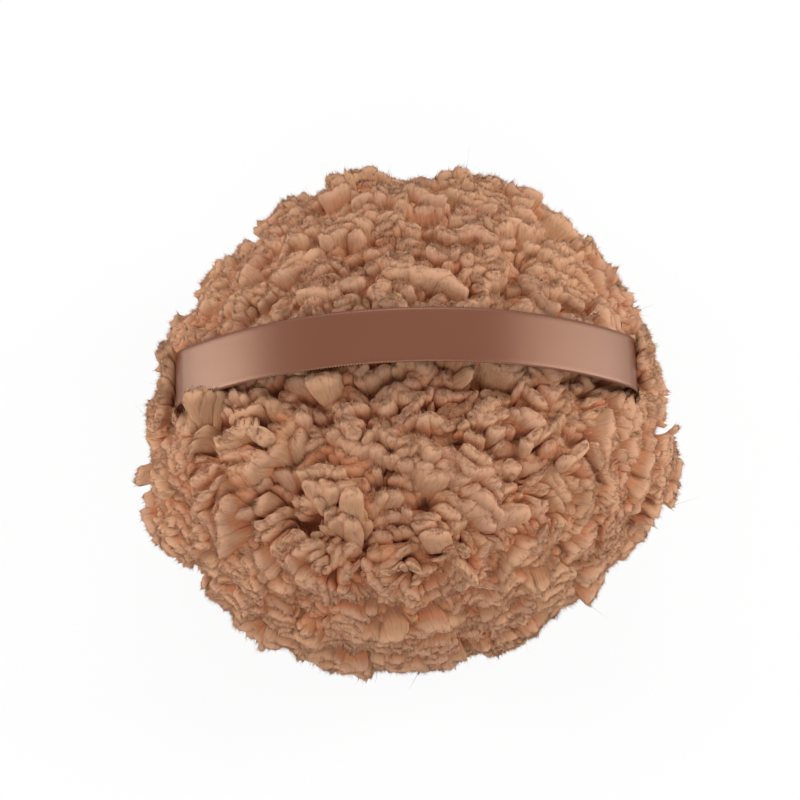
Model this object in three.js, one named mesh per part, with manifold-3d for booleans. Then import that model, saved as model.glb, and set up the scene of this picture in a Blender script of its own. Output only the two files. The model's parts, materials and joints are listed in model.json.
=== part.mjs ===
// Round plush powder puff with a satin ribbon handle, in millimetres, +Z up.
// The origin is the middle of the flat patch that the powder face rests on.
// The ribbon runs along X. The sewn seam lies level, and most pieces are drawn from its plane.
import * as THREE from 'three';
import { mergeVertices } from 'three/addons/utils/BufferGeometryUtils.js';
import Module from 'manifold-3d';

const wasm = await Module();
wasm.setup();

// Sizes of the whole puff
const puffDiameter = 110; // over the pile
const backCrown = 41; // seam up to the top of the back pile
const faceDepth = 34; // seam down to the surface that the puff rests on
const restFlatDepth = 0.5; // how far the resting pile is pressed flat
const fitGap = 0.3; // between pieces that touch

// Pile
const pileLength = 14;
const clumpDepth = 3.2; // how far the valleys lie below the tips of the clumps
const seamGrooveDepth = 4.5; // the pile draws in at the seam

// Ground cloth and its seam
const clothThickness = 0.9;
const seamAllowance = 5;
const threadDiameter = 0.4;
const stitchLength = 5;
const stitchRise = 0.3;
const seamLineInset = 1.6; // from the fold of the cloth in to the row of stitches
const threadEndSpace = 1.5; // between the two ends of a seam thread
const closingDiameter = 0.5;
const closingLength = 36; // of the seam sewn up by hand after stuffing
const closingPitch = 3;
const closingReach = 1.3; // above and below the seam

// Ribbon
const ribbonWidth = 12;
const ribbonThickness = 0.4;
const fingerGap = 6; // top of the pile up to the underside of the ribbon
const ribbonInset = 7.3; // edge of the puff in to the ribbon's upright legs
const exitDepth = 1.7; // swing axis below the pile's surface
const legLength = 3.3; // straight stretch above the swing axis
const shoulderRadius = 6; // bend between a leg and the arch
const turnRadius = 4; // bend between a buried leg and the seam
const tailLength = 7.5; // fold of the cloth in to the cut end
const swingClearance = 0.8; // around the ribbon where it swings in the pile
const tackWidth = 1.6;
const tackPitch = 1.5;
const tackInset = 2.6; // from the fold of the cloth in to the tack
const cutOverrun = 6; // how far a cutting solid runs past what it cuts

// Swing of the ribbon either way, in degrees
const swingAngle = 25;

// Roundness of the domes: 2 is an ellipse, and a larger number is squarer
const backFullness = 2.2;
const faceFullness = 2.8;

// Counts and shares
const pileRings = 13;
const roundSegments = 30;
const sweepSegments = 16;
const domeSteps = 6;
const archSteps = 16;
const bendSteps = 4;
const threadSides = 4;
const clumpUnevennessShare = 0.45;

// Places worked out from the sizes
const puffRadius = puffDiameter / 2;
const clothRadius = puffRadius - pileLength;
const seamGap = ribbonThickness + 2 * fitGap; // between the two allowances
const threadHeight = seamGap / 2 + clothThickness + fitGap + threadDiameter / 2;
const grooveHalfHeight = threadHeight + threadDiameter / 2 + stitchRise + fitGap;
const grooveRadius = clothRadius - Math.max(seamAllowance, tailLength) - 2 * fitGap;
const seamVoidRadius = clothRadius + closingDiameter + 3 * fitGap;
const seamVoidHeight = closingReach + closingDiameter / 2 + fitGap;
const legReach = puffRadius - ribbonInset;
const crestHeight = backCrown + fingerGap + ribbonThickness / 2; // middle of the ribbon
const exitHeight = domeHeightAt(legReach, puffRadius, backCrown, backFullness) - exitDepth;
const backClothHeight = backCrown - pileLength - seamGap / 2;
const faceClothHeight = faceDepth - pileLength - seamGap / 2;

// Materials
const cloth = (color, roughness) => new THREE.MeshStandardMaterial({
  color, roughness, metalness: 0, flatShading: true,
});
const pileMaterial = cloth(0xa5765b, 0.95);
const groundMaterial = cloth(0x8a5d48, 0.9);
const fillingMaterial = cloth(0xe8e3d8, 0.95);
const threadMaterial = cloth(0x8c5b45, 0.7);
const ribbonMaterial = cloth(0x9e6a54, 0.4);

// Height of a dome's surface above its base, at a radius
function domeHeightAt(radius, baseRadius, height, fullness) {
  return height * (1 - (radius / baseRadius) ** fullness) ** (1 / fullness);
}

// Point of a dome's profile, as radius and height, at a share of the way from pole to rim
function domePoint(wayShare, baseRadius, height, fullness) {
  const across = wayShare === 0 ? 0 : Math.sin(wayShare * (Math.PI / 2));
  const up = wayShare === 1 ? 0 : Math.cos(wayShare * (Math.PI / 2));
  const swell = (across ** fullness + up ** fullness) ** (-1 / fullness);
  return new THREE.Vector2(baseRadius * swell * across, height * swell * up);
}

// Profile of a dome from its pole to its rim
function domeProfile(baseRadius, height, fullness) {
  const points = [];
  for (let step = 0; step <= domeSteps; step += 1) {
    points.push(domePoint(step / domeSteps, baseRadius, height, fullness));
  }
  return points;
}

// Solid turned about the Z axis from a profile that starts and ends on it
function turned(profile, segments = roundSegments) {
  const points = THREE.ShapeUtils.area(profile) < 0 ? [...profile].reverse() : profile;
  return new THREE.LatheGeometry(points, segments).rotateX(Math.PI / 2);
}

// Closed solid for cutting and joining
function toSolid(geometry) {
  const bare = geometry.clone();
  bare.deleteAttribute('normal');
  bare.deleteAttribute('uv');
  const merged = mergeVertices(bare);
  return new wasm.Manifold(new wasm.Mesh({
    numProp: 3,
    vertProperties: new Float32Array(merged.attributes.position.array),
    triVerts: new Uint32Array(merged.index.array),
  }));
}

function toGeometry(solid) {
  const mesh = solid.getMesh();
  const geometry = new THREE.BufferGeometry();
  geometry.setAttribute('position', new THREE.BufferAttribute(mesh.vertProperties, 3));
  geometry.setIndex(new THREE.BufferAttribute(mesh.triVerts, 1));
  geometry.computeVertexNormals();
  return geometry;
}

function moved(geometry, x, y, z) {
  return geometry.clone().translate(x, y, z);
}

// Even but unpredictable number from 0 to 1 for a clump
function scatter(ring, step) {
  const value = Math.sin(ring * 12.9898 + step * 78.233) * 43758.5453;
  return value - Math.floor(value);
}

// Dome of clumped pile on the seam plane. Its points lie on a triangular lattice, and every
// third one is the tip of a clump. Clumps fade out inside smoothRadius.
function pileDome(height, fullness, smoothRadius) {
  const positions = [];
  const triangles = [];
  const pointAt = (ring, step) => (
    ring === 0 ? 0 : 1 + 3 * ring * (ring - 1) + (step % (6 * ring))
  );
  const clumpSpacing = puffRadius * (Math.PI / 2) / pileRings;
  for (let ring = 0; ring <= pileRings; ring += 1) {
    const smooth = domePoint(ring / pileRings, puffRadius, height, fullness);
    const relief = THREE.MathUtils.clamp((smooth.x - smoothRadius) / clumpSpacing, 0, 1);
    for (let step = 0; step < Math.max(6 * ring, 1); step += 1) {
      const turn = ring === 0 ? 0 : (step / (6 * ring)) * 2 * Math.PI;
      const tip = ring === 0 || (ring + (step % ring)) % 3 === 0;
      const uneven = clumpUnevennessShare * scatter(ring, step);
      const sunk = clumpDepth * relief * (tip ? uneven : 1 - uneven);
      const drawnIn = ring === pileRings ? seamGrooveDepth : sunk;
      const point = smooth.clone().setLength(smooth.length() - drawnIn);
      positions.push(point.x * Math.cos(turn), point.x * Math.sin(turn), point.y);
    }
  }
  const middle = positions.length / 3;
  positions.push(0, 0, 0);
  for (let ring = 1; ring <= pileRings; ring += 1) {
    for (let sector = 0; sector < 6; sector += 1) {
      for (let step = 0; step < ring; step += 1) {
        const outer = pointAt(ring, sector * ring + step);
        const nextOuter = pointAt(ring, sector * ring + step + 1);
        const inner = pointAt(ring - 1, sector * (ring - 1) + step);
        triangles.push(inner, outer, nextOuter);
        if (step < ring - 1) {
          triangles.push(inner, nextOuter, pointAt(ring - 1, sector * (ring - 1) + step + 1));
        }
        if (ring === pileRings) triangles.push(middle, nextOuter, outer);
      }
    }
  }
  const geometry = new THREE.BufferGeometry();
  geometry.setAttribute('position', new THREE.Float32BufferAttribute(positions, 3));
  geometry.setIndex(triangles);
  return geometry.translate(0, 0, seamGap / 2);
}

// Hollow in a pile dome for its ground cloth, wider at the seam for the closing stitches
function clothHollow(height, fullness) {
  const wall = domeProfile(clothRadius + fitGap, height + fitGap, fullness);
  const aboveVoid = wall.filter((point) => point.y > seamVoidHeight);
  const profile = [
    ...aboveVoid,
    new THREE.Vector2(clothRadius + fitGap, seamVoidHeight),
    new THREE.Vector2(seamVoidRadius, seamVoidHeight),
    new THREE.Vector2(seamVoidRadius, -cutOverrun),
    new THREE.Vector2(0, -cutOverrun),
  ];
  return toSolid(moved(turned(profile), 0, 0, seamGap / 2));
}

// Ground cloth: a thin dome whose edge turns in flat as the seam allowance
function clothDome(height, fullness) {
  const outside = domeProfile(clothRadius, height, fullness);
  const inside = domeProfile(clothRadius - clothThickness, height - clothThickness, fullness);
  const wallFoot = inside.filter((point) => point.y > clothThickness);
  const profile = [
    ...outside,
    new THREE.Vector2(clothRadius - seamAllowance, 0),
    new THREE.Vector2(clothRadius - seamAllowance, clothThickness),
    new THREE.Vector2(clothRadius - clothThickness, clothThickness),
    ...wallFoot.reverse(),
  ];
  return moved(turned(profile), 0, 0, seamGap / 2);
}

// The same piece hung below the seam instead of standing on it
function hung(geometry) {
  return geometry.rotateX(Math.PI);
}

// Fibre filling: two domes with a groove round the middle for the seam allowances
function filling() {
  const spare = clothThickness + fitGap;
  const lip = grooveHalfHeight - seamGap / 2;
  const half = (clothHeight, fullness) => {
    const height = clothHeight - spare;
    const lipRadius = domeHeightAt(lip, height, clothRadius - spare, fullness);
    return [
      ...domeProfile(clothRadius - spare, height, fullness).filter((point) => point.y > lip),
      new THREE.Vector2(lipRadius, lip),
      new THREE.Vector2(grooveRadius, lip),
    ].map((point) => new THREE.Vector2(point.x, point.y + seamGap / 2));
  };
  const below = half(faceClothHeight, faceFullness)
    .map((point) => new THREE.Vector2(point.x, -point.y))
    .reverse();
  return turned([...half(backClothHeight, backFullness), ...below]);
}

// Thread through a list of points
function thread(points, diameter, steps) {
  const section = new THREE.Shape();
  for (let side = 0; side < threadSides; side += 1) {
    const turn = (side / threadSides) * 2 * Math.PI;
    const x = (diameter / 2) * Math.cos(turn);
    const y = (diameter / 2) * Math.sin(turn);
    if (side === 0) section.moveTo(x, y);
    else section.lineTo(x, y);
  }
  const route = new THREE.CatmullRomCurve3(points);
  route.arcLengthDivisions = steps * 8;
  return new THREE.ExtrudeGeometry(section, { steps, extrudePath: route });
}

// Row of machine stitches round the allowance, rising a little between the needle holes
function seamThread() {
  const radius = clothRadius - seamLineInset;
  const length = 2 * Math.PI * radius - threadEndSpace;
  const steps = 2 * Math.round(length / stitchLength);
  const points = [];
  for (let step = 0; step <= steps; step += 1) {
    const turn = ((step / steps) * length + threadEndSpace / 2) / radius;
    const rise = step % 2 === 0 ? 0 : stitchRise;
    points.push(new THREE.Vector3(
      radius * Math.cos(turn), radius * Math.sin(turn), threadHeight + rise,
    ));
  }
  return thread(points, threadDiameter, steps);
}

// Ladder stitches that close the stuffing opening at the front of the seam
function closingThread() {
  const radius = clothRadius + fitGap + closingDiameter / 2;
  const steps = 2 * Math.round(closingLength / closingPitch);
  const points = [];
  for (let step = 0; step <= steps; step += 1) {
    const turn = (step / steps - 1 / 2) * (closingLength / radius) - Math.PI / 2;
    const level = step % 2 === 0 ? closingReach : -closingReach;
    points.push(new THREE.Vector3(radius * Math.cos(turn), radius * Math.sin(turn), level));
  }
  return thread(points, closingDiameter, steps);
}

// Close zigzag across a ribbon tail, lying on the back allowance
function ribbonTack(side) {
  const middle = side * (clothRadius - tackInset - tackWidth / 2);
  const length = ribbonWidth + tackPitch;
  const steps = 2 * Math.round(length / tackPitch);
  const points = [];
  for (let step = 0; step <= steps; step += 1) {
    const offset = (step % 2 === 0 ? 1 : -1) * (tackWidth / 2 - threadDiameter / 2);
    points.push(new THREE.Vector3(
      middle + offset, (step / steps - 1 / 2) * length, threadHeight,
    ));
  }
  return thread(points, threadDiameter, steps);
}

function arcPoints(x, z, radius, from, to, steps) {
  const points = [];
  for (let step = 0; step <= steps; step += 1) {
    const angle = from + (to - from) * (step / steps);
    points.push(new THREE.Vector2(x + radius * Math.cos(angle), z + radius * Math.sin(angle)));
  }
  return points;
}

// Middle line of the free loop in its XZ plane, from the swing axis up and over to the other
// leg. One arc makes the arch, and it meets a shoulder bend on each side.
function loopLine() {
  const shoulderReach = legReach - shoulderRadius;
  const rise = crestHeight - exitHeight - legLength;
  const archRadius = (shoulderReach ** 2 + rise ** 2 - shoulderRadius ** 2)
    / (2 * (rise - shoulderRadius));
  const archCentre = legLength + rise - archRadius;
  const meeting = Math.atan2(legLength - archCentre, shoulderReach);
  const quarter = [
    new THREE.Vector2(legReach, -ribbonWidth / 2),
    ...arcPoints(shoulderReach, legLength, shoulderRadius, 0, meeting, bendSteps),
    ...arcPoints(0, archCentre, archRadius, meeting, Math.PI / 2, archSteps / 2).slice(1),
  ];
  const mirrored = quarter.slice(0, -1).reverse()
    .map((point) => new THREE.Vector2(-point.x, point.y));
  return [...quarter, ...mirrored];
}

// Middle line of a buried ribbon end, from its cut end in the seam up to the swing axis
function endLine(side) {
  const bendStart = legReach - turnRadius;
  const line = [
    new THREE.Vector2(clothRadius - tailLength, 0),
    ...arcPoints(bendStart, turnRadius, turnRadius, -Math.PI / 2, 0, bendSteps),
    new THREE.Vector2(legReach, exitHeight),
  ];
  return line.map((point) => new THREE.Vector2(side * point.x, point.y));
}

// Outline of a strip laid along a line
function stripShape(line, thickness) {
  const edge = (side) => line.map((point, place) => {
    const before = line[Math.max(place - 1, 0)];
    const after = line[Math.min(place + 1, line.length - 1)];
    const along = after.clone().sub(before).normalize();
    const across = new THREE.Vector2(-along.y, along.x);
    return point.clone().addScaledVector(across, side * (thickness / 2));
  });
  return new THREE.Shape([...edge(1), ...edge(-1).reverse()]);
}

// Shape drawn in X and Z, made as wide as asked along Y
function madeWide(shape, width) {
  return new THREE.ExtrudeGeometry(shape, { depth: width, bevelEnabled: false })
    .rotateX(Math.PI / 2)
    .translate(0, width / 2, 0);
}

// Shape drawn in Y and Z, run from one X to another
function runAlong(shape, from, to) {
  const turn = new THREE.Matrix4().makeBasis(
    new THREE.Vector3(0, 1, 0), new THREE.Vector3(0, 0, 1), new THREE.Vector3(1, 0, 0),
  );
  return new THREE.ExtrudeGeometry(shape, { depth: to - from, bevelEnabled: false })
    .applyMatrix4(turn)
    .translate(from, 0, 0);
}

// Half round below the swing axis with sides that flare upward, drawn in Y and Z
function flaredShape(radius, flare, height) {
  const below = arcPoints(0, 0, radius, Math.PI + flare, 2 * Math.PI - flare, 2 * bendSteps);
  const outward = height * Math.tan(flare);
  const first = below[0];
  const last = below[below.length - 1];
  return new THREE.Shape([
    ...below,
    new THREE.Vector2(last.x + outward, last.y + height),
    new THREE.Vector2(first.x - outward, first.y + height),
  ]);
}

// Free loop, half round at its two lower ends
function ribbonLoop() {
  const strip = toSolid(madeWide(stripShape(loopLine(), ribbonThickness), ribbonWidth));
  const roundEnded = flaredShape(ribbonWidth / 2, 0, crestHeight + cutOverrun);
  const reach = legReach + cutOverrun;
  return toGeometry(strip.intersect(toSolid(runAlong(roundEnded, -reach, reach))));
}

// Buried end, hollowed at the top so that the loop's round end turns in it
function ribbonEnd(side) {
  const strip = toSolid(madeWide(stripShape(endLine(side), ribbonThickness), ribbonWidth));
  const seat = new THREE.CylinderGeometry(
    ribbonWidth / 2 + fitGap, ribbonWidth / 2 + fitGap, 2 * cutOverrun, roundSegments,
  );
  seat.rotateZ(Math.PI / 2).translate(side * legReach, 0, exitHeight);
  return toGeometry(strip.subtract(toSolid(seat)));
}

// Slot in the pile around a buried end
function endSlot(side) {
  const shape = stripShape(endLine(side), ribbonThickness + 2 * fitGap);
  return toSolid(madeWide(shape, ribbonWidth + 2 * fitGap));
}

// Parting in the pile where one side of the loop comes out and swings. It is the space that
// the loop sweeps about the swing axis, and a flared cut keeps it to the angle of the swing.
function swingHollow(side) {
  const spare = ribbonThickness / 2 + swingClearance;
  const underside = loopLine()
    .filter((point) => point.x >= 0 && point.y > spare)
    .map((point, place, line) => {
      const before = line[Math.max(place - 1, 0)];
      const after = line[Math.min(place + 1, line.length - 1)];
      const along = after.clone().sub(before).normalize();
      return point.clone().addScaledVector(new THREE.Vector2(-along.y, along.x), spare);
    });
  const top = crestHeight + cutOverrun;
  const profile = [
    new THREE.Vector2(0, legReach - spare),
    ...underside.map((point) => new THREE.Vector2(point.y, point.x)),
    new THREE.Vector2(top, underside[underside.length - 1].x),
    new THREE.Vector2(top, legReach + spare),
    new THREE.Vector2(0, legReach + spare),
  ];
  const swept = turned(profile, sweepSegments).rotateY(side * (Math.PI / 2));
  const flare = THREE.MathUtils.degToRad(swingAngle);
  const sector = flaredShape(ribbonWidth / 2 + swingClearance, flare, top);
  const reach = legReach + cutOverrun;
  const cut = toSolid(swept).intersect(toSolid(runAlong(sector, -reach, reach)));
  return cut.translate([0, 0, exitHeight]);
}

function backPile() {
  let pile = toSolid(pileDome(backCrown - seamGap / 2, backFullness, 0));
  pile = pile.subtract(clothHollow(backClothHeight, backFullness));
  for (const side of [-1, 1]) {
    pile = pile.subtract(endSlot(side)).subtract(swingHollow(side));
  }
  return toGeometry(pile);
}

function facePile() {
  const depth = faceDepth + restFlatDepth - seamGap / 2;
  const flatRadius = puffRadius
    * (1 - (1 - restFlatDepth / depth) ** faceFullness) ** (1 / faceFullness);
  const dome = toSolid(hung(pileDome(depth, faceFullness, flatRadius)));
  const floor = new THREE.BoxGeometry(2 * puffDiameter, 2 * puffDiameter, 2 * cutOverrun)
    .translate(0, 0, -faceDepth - cutOverrun);
  const hollow = clothHollow(faceClothHeight, faceFullness).rotate([180, 0, 0]);
  return toGeometry(dome.subtract(toSolid(floor)).subtract(hollow));
}

function named(name, geometry, material) {
  const mesh = new THREE.Mesh(geometry, material.clone());
  mesh.name = name;
  return mesh;
}

// Everything but the loop is drawn from the seam plane, and the loop from its swing axis
const powderPuff = new THREE.Group();
powderPuff.position.set(0, 0, faceDepth);
powderPuff.add(named('back_pile', backPile(), pileMaterial));
powderPuff.add(named('face_pile', facePile(), pileMaterial));
powderPuff.add(named('back_ground_cloth', clothDome(backClothHeight, backFullness), groundMaterial));
powderPuff.add(named('face_ground_cloth', hung(clothDome(faceClothHeight, faceFullness)), groundMaterial));
powderPuff.add(named('fibre_filling', filling(), fillingMaterial));
powderPuff.add(named('needle_thread', seamThread(), threadMaterial));
powderPuff.add(named('bobbin_thread', hung(seamThread()), threadMaterial));
powderPuff.add(named('closing_thread', closingThread(), threadMaterial));
powderPuff.add(named('ribbon_end_left', ribbonEnd(-1), ribbonMaterial));
powderPuff.add(named('ribbon_end_right', ribbonEnd(1), ribbonMaterial));
powderPuff.add(named('ribbon_tack_left', ribbonTack(-1), threadMaterial));
powderPuff.add(named('ribbon_tack_right', ribbonTack(1), threadMaterial));

const swingAxis = new THREE.Group();
swingAxis.position.set(0, 0, exitHeight);
swingAxis.add(named('ribbon_loop', ribbonLoop(), ribbonMaterial));
powderPuff.add(swingAxis);

export default powderPuff;
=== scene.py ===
import json
import math
import bpy
import numpy as np
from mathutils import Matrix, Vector


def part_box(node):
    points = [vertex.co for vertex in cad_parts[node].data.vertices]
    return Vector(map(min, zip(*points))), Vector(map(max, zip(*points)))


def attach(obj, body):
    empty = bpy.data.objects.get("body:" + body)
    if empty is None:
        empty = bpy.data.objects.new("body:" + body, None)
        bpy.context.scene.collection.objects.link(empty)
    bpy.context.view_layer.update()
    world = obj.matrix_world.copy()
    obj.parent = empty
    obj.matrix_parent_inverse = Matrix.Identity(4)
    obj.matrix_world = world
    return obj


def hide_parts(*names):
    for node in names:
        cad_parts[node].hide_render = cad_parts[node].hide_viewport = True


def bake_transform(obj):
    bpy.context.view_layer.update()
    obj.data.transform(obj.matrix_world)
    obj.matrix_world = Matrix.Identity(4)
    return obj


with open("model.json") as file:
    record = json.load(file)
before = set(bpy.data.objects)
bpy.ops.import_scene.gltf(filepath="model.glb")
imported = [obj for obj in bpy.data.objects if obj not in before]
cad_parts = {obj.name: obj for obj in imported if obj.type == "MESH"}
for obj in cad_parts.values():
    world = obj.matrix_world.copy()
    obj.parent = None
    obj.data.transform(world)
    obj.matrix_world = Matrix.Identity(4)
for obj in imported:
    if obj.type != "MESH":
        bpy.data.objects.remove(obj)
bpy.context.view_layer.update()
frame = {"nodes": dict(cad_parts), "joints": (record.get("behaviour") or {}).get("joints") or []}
mm = 0.001

backLow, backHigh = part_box("back_pile")
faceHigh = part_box("face_pile")[1]
loopLow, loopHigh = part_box("ribbon_loop")
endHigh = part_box("ribbon_end_left")[1]
swingHeight = frame["joints"][0]["pos_m"][2]
seamHeight = (backLow.z + faceHigh.z) / 2
puffRadius = (backHigh.x - backLow.x) / 2
goldenAngle = math.pi * (3 - math.sqrt(5))
tiny = 1e-9


# Materials

# A node's output that can be written in sums. Each operator adds a Math node.
class Wire:
    def __init__(self, paint, socket):
        self.paint = paint
        self.socket = socket

    def sum(self, operation, first, second):
        return self.paint.node("ShaderNodeMath", {"operation": operation}, {0: first, 1: second})

    def __add__(self, other):
        return self.sum("ADD", self, other)

    def __rsub__(self, other):
        return self.sum("SUBTRACT", other, self)

    def __mul__(self, other):
        return self.sum("MULTIPLY", self, other)


# The node tree of a material, or of the world
class Paint:
    def __init__(self, holder):
        self.holder = holder
        holder.use_nodes = True
        self.tree = holder.node_tree
        self.tree.nodes.clear()

    def node(self, kind, settings, values, out=0):
        node = self.tree.nodes.new(kind)
        for key, value in settings.items():
            setattr(node, key, value)
        for key, value in values.items():
            if isinstance(value, Wire):
                self.tree.links.new(value.socket, node.inputs[key])
            else:
                node.inputs[key].default_value = value
        return Wire(self, node.outputs[out]) if node.outputs else node

    def mix(self, share, first, second, blend="MIX"):
        first, second = ((*c, 1) if isinstance(c, tuple) else c for c in (first, second))
        return self.node("ShaderNodeMix", {"data_type": "RGBA", "blend_type": blend},
                         {0: share, 6: first, 7: second}, out=2)

    def scaled(self, vector, scale):
        return self.node("ShaderNodeVectorMath", {"operation": "MULTIPLY"}, {0: vector, 1: scale})

    def eased(self, value, start, end, low=0.0, high=1.0):
        return self.node("ShaderNodeMapRange", {"interpolation_type": "SMOOTHSTEP"},
                         {0: value, 1: start, 2: end, 3: low, 4: high})

    def attribute(self, name, out="Fac"):
        return self.node("ShaderNodeAttribute", {"attribute_name": name}, {}, out=out)

    def noise(self, vector, scale, detail=2.0, roughness=0.5):
        return self.node("ShaderNodeTexNoise", {"noise_dimensions": "3D"},
                         {"Vector": vector, "Scale": scale, "Detail": detail, "Roughness": roughness})

    def finish(self, shader, output="ShaderNodeOutputMaterial"):
        self.node(output, {}, {"Surface": shader})
        return self.holder

    def cloth(self, colour, look, height):
        relief = {"Height": height, "Strength": look["bump"], "Distance": look["depth"]}
        return self.finish(self.node("ShaderNodeBsdfPrincipled", {}, {
            "Base Color": colour,
            "Roughness": look["roughness"],
            "Specular IOR Level": look.get("specular", 0.5),
            "Specular Tint": (*look.get("shineTint", (1, 1, 1)), 1),
            "Normal": self.node("ShaderNodeBump", {}, relief),
        }))


# Loose plush fibre with painted shade: a shade depth attribute in millimetres turns the colour toward darker,
# redder root and deep colours in crevices. The comb attribute runs across a lock, along it, and to another place
# for each.
def plushFibre(name, look):
    paint = Paint(bpy.data.materials.new(name))
    reach = paint.attribute("reach")
    tint = paint.attribute("tint")
    depth = paint.attribute("sunken")
    comb = paint.attribute("comb", out="Vector")
    strands = paint.noise(paint.scaled(comb, look["strandScale"]), 1.0, detail=3.0, roughness=0.6)
    patches = paint.noise(paint.scaled(comb, look["patchScale"]), 1.0, detail=1.0)
    # Painted shade: the deeper the point, the more its colour turns to the root colour and then to the deep one,
    # less so at the tips
    sunken = paint.eased(depth, look["lightAbove"], look["darkBelow"])
    deepShadeShare = paint.eased(depth, look["darkBelow"], look["deepBelow"])
    creviceShadeColour = paint.mix(deepShadeShare, look["root"], look["deep"])
    base = paint.mix(sunken * (1 - reach * look["tipStaysLight"]), look["tip"], creviceShadeColour)
    dyed = paint.mix(tint * look["dyeShift"], base, look["yellower"])
    warm = paint.mix(patches * look["patchShift"], dyed, look["pinker"])
    # Paler toward the lock tips, except where the painted shade lies
    tipPaleness = paint.eased(reach, look["paleFrom"], 1.0, high=look["palest"])
    warm = paint.mix(tipPaleness * (1 - sunken), warm, look["pale"])
    fading = paint.eased(reach, look["strandsFadeFrom"], 1.0, low=1.0, high=look["strandsLeft"])
    shade = 1 - (1 - strands) * fading * look["strandShade"]
    grey = paint.node("ShaderNodeCombineColor", {}, {0: shade, 1: shade, 2: shade})
    return paint.cloth(paint.mix(1.0, warm, grey, blend="MULTIPLY"), look, strands * fading)


# Woven satin. The weave attribute runs along the ribbon, across it, and round its thickness.
def satinWeave(name, look):
    paint = Paint(bpy.data.materials.new(name))
    weave = paint.attribute("weave", out="Vector")
    across = paint.node("ShaderNodeSeparateXYZ", {}, {0: weave}, out=1)
    threads = paint.noise(paint.scaled(weave, look["threadScale"]), 1.0, detail=2.0)
    ribs = paint.node("ShaderNodeMath", {"operation": "SINE"},
                      {0: across * (2 * math.pi / look["threadPitch"])})
    cloudy = paint.noise(paint.scaled(weave, look["cloudScale"]), 1.0, detail=1.0)
    colour = paint.mix(threads * look["threadShift"], look["base"], look["light"])
    colour = paint.mix(cloudy * look["cloudShift"], colour, look["deep"])
    return paint.cloth(colour, look, ribs * look["ribShare"] + threads)


# Cloth, thread and filling inside, with a knit or fibre grain in object space
def innerFibre(name, look):
    paint = Paint(bpy.data.materials.new(name))
    place = paint.node("ShaderNodeTexCoord", {}, {}, out="Object")
    grain = paint.noise(paint.scaled(place, look["grainScale"]), 1.0, detail=3.0)
    patches = paint.noise(place, look["patchScale"], detail=2.0)
    colour = paint.mix(grain, look["deep"], look["base"])
    colour = paint.mix(patches * look["patchShift"], colour, look["light"])
    return paint.cloth(colour, look, grain)


# Meshes

# One mesh object from points and faces of equal size, with a value or a vector at each point
def meshPiece(name, points, faces, material, values=None, vectors=None):
    mesh = bpy.data.meshes.new(name)
    corners = faces.shape[1]
    mesh.vertices.add(len(points))
    mesh.vertices.foreach_set("co", points.astype(np.float32).ravel())
    mesh.loops.add(faces.size)
    mesh.loops.foreach_set("vertex_index", faces.astype(np.int32).ravel())
    mesh.polygons.add(len(faces))
    mesh.polygons.foreach_set("loop_start", np.arange(len(faces), dtype=np.int32) * corners)
    mesh.polygons.foreach_set("use_smooth", np.ones(len(faces), dtype=bool))
    mesh.update(calc_edges=True)
    mesh.validate()
    for key, array in (values or {}).items():
        layer = mesh.attributes.new(key, "FLOAT", "POINT")
        layer.data.foreach_set("value", array.astype(np.float32).ravel())
    for key, array in (vectors or {}).items():
        layer = mesh.attributes.new(key, "FLOAT_VECTOR", "POINT")
        layer.data.foreach_set("vector", array.astype(np.float32).ravel())
    mesh.materials.append(material)
    piece = bpy.data.objects.new(name, mesh)
    bpy.context.scene.collection.objects.link(piece)
    return piece


# Loose fibre passes light on, so its shading turns partly toward the way that the pile as a whole faces
def softenShading(piece, toward, share):
    mesh = piece.data
    own = np.empty(len(mesh.vertices) * 3, dtype=np.float32)
    mesh.vertex_normals.foreach_get("vector", own)
    turned = unit(own.reshape(-1, 3) * (1 - share) + toward.reshape(-1, 3) * share)
    layer = mesh.attributes.new("custom_normal", "FLOAT_VECTOR", "POINT")
    layer.data.foreach_set("vector", turned.astype(np.float32).ravel())


# Quads between rings of points, and across the first and last ring, for many tubes at once
def tubeFaces(tubes, rings, sides):
    around = np.arange(sides)
    onward = (around + 1) % sides
    ring = np.arange(rings - 1)[:, None] * sides
    walls = np.stack([ring + around, ring + onward, ring + onward + sides, ring + around + sides], -1)
    half = np.arange(sides // 2 - 1)
    lid = np.stack([half, half + 1, sides - 2 - half, sides - 1 - half], -1)
    last = lid + (rings - 1) * sides
    template = np.concatenate([walls.reshape(-1, 4), lid[:, ::-1], last])
    starts = np.arange(tubes)[:, None, None] * rings * sides
    return (template[None] + starts).reshape(-1, 4)


# Triangles of many three-sided fibres. A fibre with one ring is a spike: three corners at its root and a tip.
def fibreFaces(fibres, rings, corners):
    if rings == 1:
        template = np.array([[0, 1, 3], [1, 2, 3], [2, 0, 3]])
    else:
        around = np.arange(3)
        onward = (around + 1) % 3
        ring = np.arange(rings - 1)[:, None] * 3
        lower = np.stack([ring + around, ring + onward, ring + onward + 3], -1).reshape(-1, 3)
        upper = np.stack([ring + around, ring + onward + 3, ring + around + 3], -1).reshape(-1, 3)
        ends = np.array([[2, 1, 0], [3 * rings - 3, 3 * rings - 2, 3 * rings - 1]])
        template = np.concatenate([lower, upper, ends])
    starts = np.arange(fibres)[:, None, None] * rings * corners
    return (template[None] + starts).reshape(-1, 3)


def unit(vectors):
    return vectors / np.linalg.norm(vectors, axis=-1, keepdims=True)


def eased(value, start, end):
    share = np.clip((value - start) / (end - start), 0, 1)
    return share * share * (3 - 2 * share)


# The ribbon's line

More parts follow.
